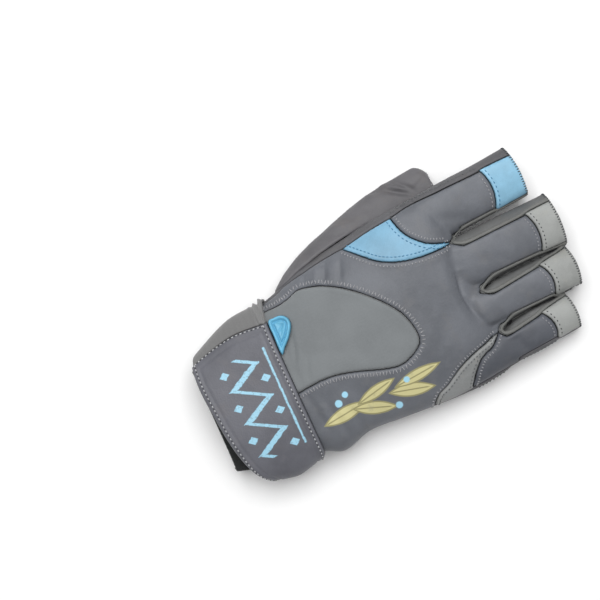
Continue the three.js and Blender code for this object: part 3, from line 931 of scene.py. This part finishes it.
def wrist_sheet(start, end, edges, lift, columns, rows):
    """A grid round the wrist. start and end are angles at the front and rear edges."""
    def point(across, share):
        first = start[0] + (start[1] - start[0]) * share
        last = end[0] + (end[1] - end[0]) * share
        angle = first + (last - first) * across
        front, rear = read(edges, "front", angle), read(edges, "rear", angle)
        y = front + (rear - front) * share
        return section_point(hand_section(y, lift(angle)), math.radians(angle))

    bm = bmesh.new()
    surface(bm, columns, rows, point)
    bmesh.ops.reverse_faces(bm, faces=bm.faces)
    return bm


def strap_top(angle):
    return read(STRAP_LIFT, "lift", angle) + STRAP_WALL


HEM_CREASE = 3.9


def hem(points, edge):
    """The crease where the strap's hem is folded under."""
    return -0.28 * np.exp(-(((edge - HEM_CREASE) / 0.6) ** 2))


strap_sheet = wrist_sheet((133, 149), (-124, -124), STRAP_EDGES, strap_top, 230, 66)
printed_strap = leather("printed_strap", srgb(97, 98, 105), motif=zigzag)
finish_piece(
    strap_sheet, "wrist_strap", [printed_strap, inside_lining], wall=STRAP_WALL - 0.4, puff=0.2, soft=0.35,
    relief=hem)


def elastic(name, colour):
    f = Finish(name, 0.9, sheen=0.3)
    ribs = f.ribs("Y", 0.009, Distortion=0.4)
    fuzz = f.noise(0.0009, 3)
    edge = f.edge()
    _, y, z = f.axes()
    # A painted highlight lightens the upper gathers near the front corner.
    gather_highlight = f.step(y, -58, -54) * f.step(z, 11, 15)
    tone = f.mix(ribs * 0.2, shade(colour, 1.02), shade(colour, 0.9))
    tone = f.mix(gather_highlight * 0.6, tone, shade(colour, 1.6))
    tone = f.mix(f.step(fuzz, 0.35, 0.7) * 0.3, tone, shade(colour, 1.2))
    # Painted shade darkens the elastic along its edges.
    tone = f.mix((1 - f.step(edge, 0.0, 0.5)) * 0.6, tone, shade(colour, 0.3))
    return f.finish(tone, [(ribs, 0.0001), (fuzz, 0.0001)])


# Gathers: how far behind the front edge they lie, half width and height.
GATHERS = ((1.5, 0.8, 1.3), (3.1, 0.6, -0.8), (4.6, 0.6, 0.9), (5.9, 0.6, -0.4), (7.2, 0.8, 0.25))


def pleats(points, edge):
    """The gathers at the front corner, where the elastic is bunched under the strap."""
    from_front = -50.4 - points[:, 1]
    rise = np.zeros(len(points))
    for place, width, height in GATHERS:
        rise += height * np.exp(-(((from_front - place) / width) ** 2))
    return rise * np.clip((points[:, 2] - 8) / 5, 0, 1) * np.clip(edge / 0.8, 0, 1)


elastic_web = elastic("elastic_web", srgb(111, 111, 111))
elastic_sheet = wrist_sheet(
    (276, 276), (134, 150), ELASTIC_EDGES, lambda angle: 0.5 + ELASTIC_WALL, 150, 120)
finish_piece(
    elastic_sheet, "strap_elastic", [elastic_web, elastic_web], wall=ELASTIC_WALL - 0.2,
    radius=0.8, depth=0.4, puff=0.0, soft=0.3, relief=pleats)
hook_tape = lining("hook_tape", srgb(42, 44, 44))
for name, start, end, front, rear, lift, grid, wall, radius in LEVEL_PIECES:
    edges = table("angle front rear", (-360, front, rear), (360, front, rear))
    sheet = wrist_sheet((start, start), (end, end), edges, lambda angle, lift=lift: lift, *grid)
    finish_piece(sheet, name, [hook_tape, hook_tape], wall, radius, depth=0.2, puff=0, soft=0)

# The pull tab. A drop-shaped loop of sky blue leather comes out from under the strap, to pull the
# strap open by, with a raised rim and a crease down its middle.
TAB_OUTLINE = [
    (-22.6, -51.6), (-23.4, -48.4), (-23.2, -45.4), (-21.6, -43), (-19, -42), (-15.9, -42.8),
    (-12.1, -45.5), (-8.9, -48.9), (-6.4, -51.7), (-14.6, -51.9),
]
TAB_LIFT, TAB_WALL = 0.4, 1.8
TAB_MIDDLE = Vector((-16.6, -47.2, 0))


def tab_point(across, share):
    """A point of the tab in plan, from its middle out to its outline."""
    at = across * len(TAB_OUTLINE)
    rim = Vector((read(TAB_LOOP, "x", at), read(TAB_LOOP, "y", at), 0))
    return TAB_MIDDLE.lerp(rim, share)


def loop_relief(points, edge):
    """The raised rim, the inner fold and the crease along the loop."""
    _, apart = beside(points, np.array((-21.0, -43.2)), np.array((7.0, -8.4)))
    rim = 0.8 * np.exp(-(((edge - 1.0) / 0.75) ** 2))
    groove = -0.75 * np.exp(-(((edge - 2.2) / 0.4) ** 2))
    inner = 0.35 * np.exp(-(((edge - 3.2) / 0.7) ** 2))
    return rim + groove + inner - 0.5 * np.exp(-((apart / 0.45) ** 2)) * np.clip(edge / 2.4 - 0.6, 0, 1)


TAB_LOOP = table(
    "t x y", *((i, *TAB_OUTLINE[i % len(TAB_OUTLINE)]) for i in range(-2, len(TAB_OUTLINE) + 3)))
tab = bmesh.new()
surface(tab, 120, 26, tab_point)
bmesh.ops.remove_doubles(tab, verts=tab.verts, dist=0.002)
bmesh.ops.recalc_face_normals(tab, faces=tab.faces)
if sum(face.normal.z for face in tab.faces) < 0:
    bmesh.ops.reverse_faces(tab, faces=tab.faces)
for vert in tab.verts:
    down = whole_hand.ray_cast(Vector((vert.co.x, vert.co.y, 60)), Vector((0, 0, -1)))
    vert.co.z = down[0].z + TAB_LIFT + TAB_WALL
tab_leather = leather("tab_leather", srgb(101, 171, 203), roughness=0.4, wear=1.35, grain=0.4, warmth=0)
finish_piece(
    tab, "pull_tab", [tab_leather, tab_leather], wall=TAB_WALL - 0.2, radius=0.9, depth=0.7, puff=0, soft=0,
    relief=loop_relief)


# The stitching. Every seam is topstitched in a bonded thread: a ladder of short stitches round the
# stretch panel and the wedges, running stitches along the bands, the hems and the strap, and a close
# overcast row that binds each fingertip's raw edge.
def thread(name, colour):
    f = Finish(name, 0.6)
    twist = f.noise(0.0007, 2)
    tone = f.mix(f.step(twist, 0.3, 0.7), shade(colour, 0.8), shade(colour, 1.15))
    return f.finish(tone, [(twist, 0.0001)])


# The threads' colours, and the slots of the leathers that they are dyed to.
THREADS = {
    "light": (srgb(152, 152, 155), "slate_leather"),
    "pale": (srgb(180, 181, 183), "slate_leather"),
    "blue": (srgb(74, 128, 162), "blue_leather"),
    "grey": (srgb(98, 100, 102), "grey_leather"),
    "dark": (srgb(58, 60, 62), "charcoal_leather"),
}
BACKS = ["back_panel", "index_back", "little_back"]
BANDS = ["index_band", "middle_band", "ring_band", "little_band"]
GUSSETS = ["fourchette_index_middle", "fourchette_middle_ring", "fourchette_ring_little"]
# Panels that carry the row, their neighbours, kind, distance from the seam, pitch, length, thread.
STITCHES = [
    (["back_panel"], ["stretch_panel"], "ladder", 1.9, 1.45, 2.3, "light"),
    (["back_panel", "index_back"], ["index_wedge"], "ladder", 2.0, 1.5, 1.2, "light"),
    (["index_wedge"], ["back_panel", "index_back"], "running", 2.3, 1.9, 1.3, "blue"),
    (["index_back"], ["index_band"], "running", 2.1, 2.0, 1.2, "light"),
    (["index_band"], ["index_back"], "running", 1.7, 2.0, 1.3, "blue"),
    (["back_panel", "little_back"], BANDS, "running", 2.1, 1.8, 1.0, "light"),
    (["middle_band", "ring_band", "little_band"], BACKS, "running", 1.7, 1.8, 0.9, "dark"),
    (["back_panel"], ["little_wedge"], "ladder", 1.7, 1.5, 1.4, "light"),
    (["little_wedge"], ["back_panel", "little_back"], "running", 1.8, 1.8, 1.0, "grey"),
    (["little_back"], ["little_wedge"], "ladder", 1.8, 1.5, 1.2, "light"),
    (["palm"], ["index_back", "little_back"], "running", 2.4, 1.8, 1.1, "grey"),
]
THREAD_RADIUS = 0.27
LADDER_LEAN = math.radians(14)


def spaced(run, pitch):
    """Places a pitch apart along a run of points and normals, each with its way along."""
    points = [place for place, _ in run]
    reach = [0.0]
    for a, b in zip(points, points[1:]):
        reach.append(reach[-1] + (b - a).length)
    count = int(reach[-1] / pitch)
    for k in range(count):
        at = (k + 0.5) * reach[-1] / count
        i = min(max(bisect.bisect_left(reach, at), 1), len(reach) - 1)
        share = (at - reach[i - 1]) / max(reach[i] - reach[i - 1], 1e-6)
        normal = run[i - 1][1].lerp(run[i][1], share).normalized()
        ahead, behind = points[min(i + 2, len(points) - 1)], points[max(i - 3, 0)]
        yield points[i - 1].lerp(points[i], share), normal, (ahead - behind).normalized()


def row_on(panels, run, inset, pitch, reach=1.2):
    """Places on the panels beside a seam: the spot, the way out, the way along and the way inwards."""
    for place, normal, way in spaced(run, pitch):
        inward = normal.cross(way)
        found = []
        for side in (1, -1):
            wanted = place + inward * side * inset
            for name in panels:
                spot, facing, _, gap = piece_trees[name].find_nearest(wanted)
                found.append((gap, side, spot, facing))
        gap, side, spot, facing = min(found, key=lambda entry: entry[0])
        if gap < reach:
            facing = facing if facing.dot(normal) > 0 else -facing
            yield spot, facing, way, inward * side


def add_stitch(bm, place, normal, way, length, radius=THREAD_RADIUS):
    """One stitch, a small bead of thread partly sunk into the leather."""
    side = normal.cross(way).normalized()
    way = side.cross(normal)
    turn = Matrix((way, side, normal)).transposed().to_4x4()
    size = Matrix.Diagonal((length / 2, radius, radius * 1.1, 1))
    matrix = Matrix.Translation(place + normal * radius * 0.3) @ turn @ size
    bmesh.ops.create_uvsphere(bm, u_segments=6, v_segments=5, radius=1, matrix=matrix)


threads = {name: bmesh.new() for name in THREADS}


def sew(panels, run, kind, inset, pitch, length, thread_name):
    """Sews a row of stitches a set distance beside a seam, with none on top of another."""
    sewn = []
    for k, (spot, facing, way, inward) in enumerate(row_on(panels, run, inset, pitch)):
        if any((spot - other).length < pitch * 0.6 for other in sewn):
            continue
        sewn.append(spot)
        if kind == "ladder":
            lean = LADDER_LEAN if k % 2 else -LADDER_LEAN
            way = inward * math.cos(lean) + way * math.sin(lean)
        add_stitch(threads[thread_name], spot, facing, way, length)


for panels, neighbours, kind, inset, pitch, length, thread_name in STITCHES:
    for run in seams_between(panels, neighbours):
        if len(run) > 8:
            sew(panels, run[2:-2], kind, inset, pitch, length, thread_name)

# The rows at the open ends: the skin, its unit, the y that its ends lie beyond, panels and row.
END_ROWS = (
    (skin, 1, 60, SEWN_PANELS, ("ladder", 1.0, 1.25, 1.5, "dark")),
    (thumb_skin, MM, 40, ["thumb"], ("running", 2.2, 1.7, 1.0, "light")),
)
for bm, unit, from_y, panels, row in END_ROWS:
    ends = [edge for edge in bm.edges if edge.is_boundary and edge.verts[0].co.y > from_y * unit]
    for rim in walk(ends):
        sew(panels, [(vert.co / unit, vert.normal.copy()) for vert in rim], *row)


def strap_row(front_share, rear_share, start, end):
    """A row on the strap, from one angle and share of its width to another."""
    run = []
    for i in range(121):
        t = i / 120
        angle = start + (end - start) * t
        share = front_share + (rear_share - front_share) * t
        front, rear = read(STRAP_EDGES, "front", angle), read(STRAP_EDGES, "rear", angle)
        section = hand_section(front + (rear - front) * share, strap_top(angle))
        spot = piece_trees["wrist_strap"].find_nearest(section_point(section, math.radians(angle)))
        run.append((spot[0], spot[1]))
    return run


STRAP_ROWS = ((0.05, 0.05, 131.5, -122), (0.95, 0.95, 146, -122), (0.05, 0.95, 131, 146.5))
for row in STRAP_ROWS:
    for k, (place, normal, way) in enumerate(spaced(strap_row(*row), 1.05)):
        thread_name, length = ("dark", 0.7) if k % 2 else ("pale", 1.15)
        add_stitch(threads[thread_name], place, normal, way, length, radius=0.34)

for name, (colour, slot) in THREADS.items():
    piece = set_in_place(threads[name], name + "_stitches", [thread(name + "_thread", colour)])

# The welts. The gussets between the fingers are joined to the backs by a rolled welt of grey leather
# that runs up one finger, round the crotch and along the next, and so is the outer side of the glove.
WELT_ROLL = 10
WELT_HEIGHT = 0.6
FAR_FROM_EDGES = 3.0
# Panels beside the welt, those it is sewn to, its distance from the seam, half width and finish.
WELTS = [([gusset], BACKS + BANDS, 0.8, 0.95, "gusset") for gusset in GUSSETS] + [
    (["palm"], ["little_back", "little_band"], 0.6, 0.7, "side"),
    (["palm"], ["index_back", "index_band"], 0.6, 0.6, "side"),
]
WELT_FINISHES = {
    "gusset": (leather("welt_leather", srgb(103, 104, 102), roughness=0.6), "gusset_leather"),
    "side": (palm_leather, "charcoal_leather"),
}


def roll(bm, spots, radius):
    """A flattened roll of leather through places on the glove, a little sunk into it."""
    centres = [spot + facing * radius * 0.1 for spot, facing, _, _ in spots]
    for _ in range(14):
        inner = [(a + 2 * b + c) / 4 for a, b, c in zip(centres, centres[1:], centres[2:])]
        centres = [centres[0], *inner, centres[-1]]
    last = len(centres) - 1

    def point(across, share):
        i = min(round(share * last), last)
        way = (centres[min(i + 1, last)] - centres[max(i - 1, 0)]).normalized()
        side = way.cross(spots[i][1]).normalized()
        turn = 2 * math.pi * across
        out = side * math.cos(turn) + side.cross(way) * (math.sin(turn) * WELT_HEIGHT)
        return centres[i] + out * radius * (0.6 if i in (0, last) else 1)

    verts = surface(bm, WELT_ROLL, last, point)
    bmesh.ops.remove_doubles(bm, verts=verts, dist=0.002)


welts = {name: bmesh.new() for name in WELT_FINISHES}
for panels, neighbours, inset, radius, finish in WELTS:
    for run in seams_between(panels, neighbours):
        spots = list(row_on(panels, run, inset, 0.9, reach=2.5))
        if len(spots) > 8:
            roll(welts[finish], spots, radius)
for name, welt in welts.items():
    bmesh.ops.holes_fill(welt, edges=[edge for edge in welt.edges if edge.is_boundary])
    bmesh.ops.recalc_face_normals(welt, faces=welt.faces)
    layer = welt.verts.layers.float.new("edge")
    for vert in welt.verts:
        vert[layer] = FAR_FROM_EDGES
    finish, slot = WELT_FINISHES[name]
    set_in_place(welt, name + "_welts", [finish])

# The studio. The glove lies on a plain pale floor under a large soft light, seen from straight above
# and turned as the photograph has it.
FOCUS = Vector((-26.1, -34.6, 12.0)) * MM
CAMERA_HEIGHT = 0.80
VIEW_WIDTH = 0.282
PICTURE_RIGHT = Vector((0.415, 0.910, 0))

floor = bmesh.new()
bmesh.ops.create_grid(floor, x_segments=2, y_segments=2, size=1.6)
floor_piece = add_mesh(floor, "floor")
paper = Finish("pale_paper", 0.9)
fibre = paper.noise(0.004, 3)
floor_piece.data.materials.append(paper.finish(
    paper.mix(fibre, srgb(247, 247, 247), srgb(250, 250, 250)), [(fibre, 0.00002)]))

camera = bpy.data.cameras.new("camera")
camera.sensor_fit = "HORIZONTAL"
camera.angle = 2 * math.atan(VIEW_WIDTH / 2 / CAMERA_HEIGHT)
camera_piece = add_object("camera", camera)
eye = Vector((0, 0, CAMERA_HEIGHT))
looking = (FOCUS - eye).normalized()
right = (PICTURE_RIGHT - looking * PICTURE_RIGHT.dot(looking)).normalized()
turn = Matrix((right, right.cross(looking), -looking)).transposed().to_4x4()
camera_piece.matrix_world = Matrix.Translation(eye) @ turn
bpy.context.scene.camera = camera_piece
bpy.context.scene.view_settings.view_transform = "Standard"


def softbox(name, place, size, power):
    light = bpy.data.lights.new(name, "AREA")
    light.shape = "SQUARE"
    light.size = size
    light.energy = power
    lamp = add_object(name, light)
    turn = (-Vector(place)).to_track_quat("-Z", "Y").to_matrix().to_4x4()
    lamp.matrix_world = Matrix.Translation(place) @ turn


softbox("key", (-0.42, 0.15, 1.2), 1.1, 17.0)
softbox("fill", (0.5, 0.7, 0.9), 0.9, 0.8)
softbox("back", (-0.4, -0.9, 0.9), 0.6, 0.8)
world = bpy.data.worlds.new("studio")
world.use_nodes = True
world.node_tree.nodes["Background"].inputs["Color"].default_value = (1, 1, 1, 1)
world.node_tree.nodes["Background"].inputs["Strength"].default_value = 0.34
bpy.context.scene.world = world
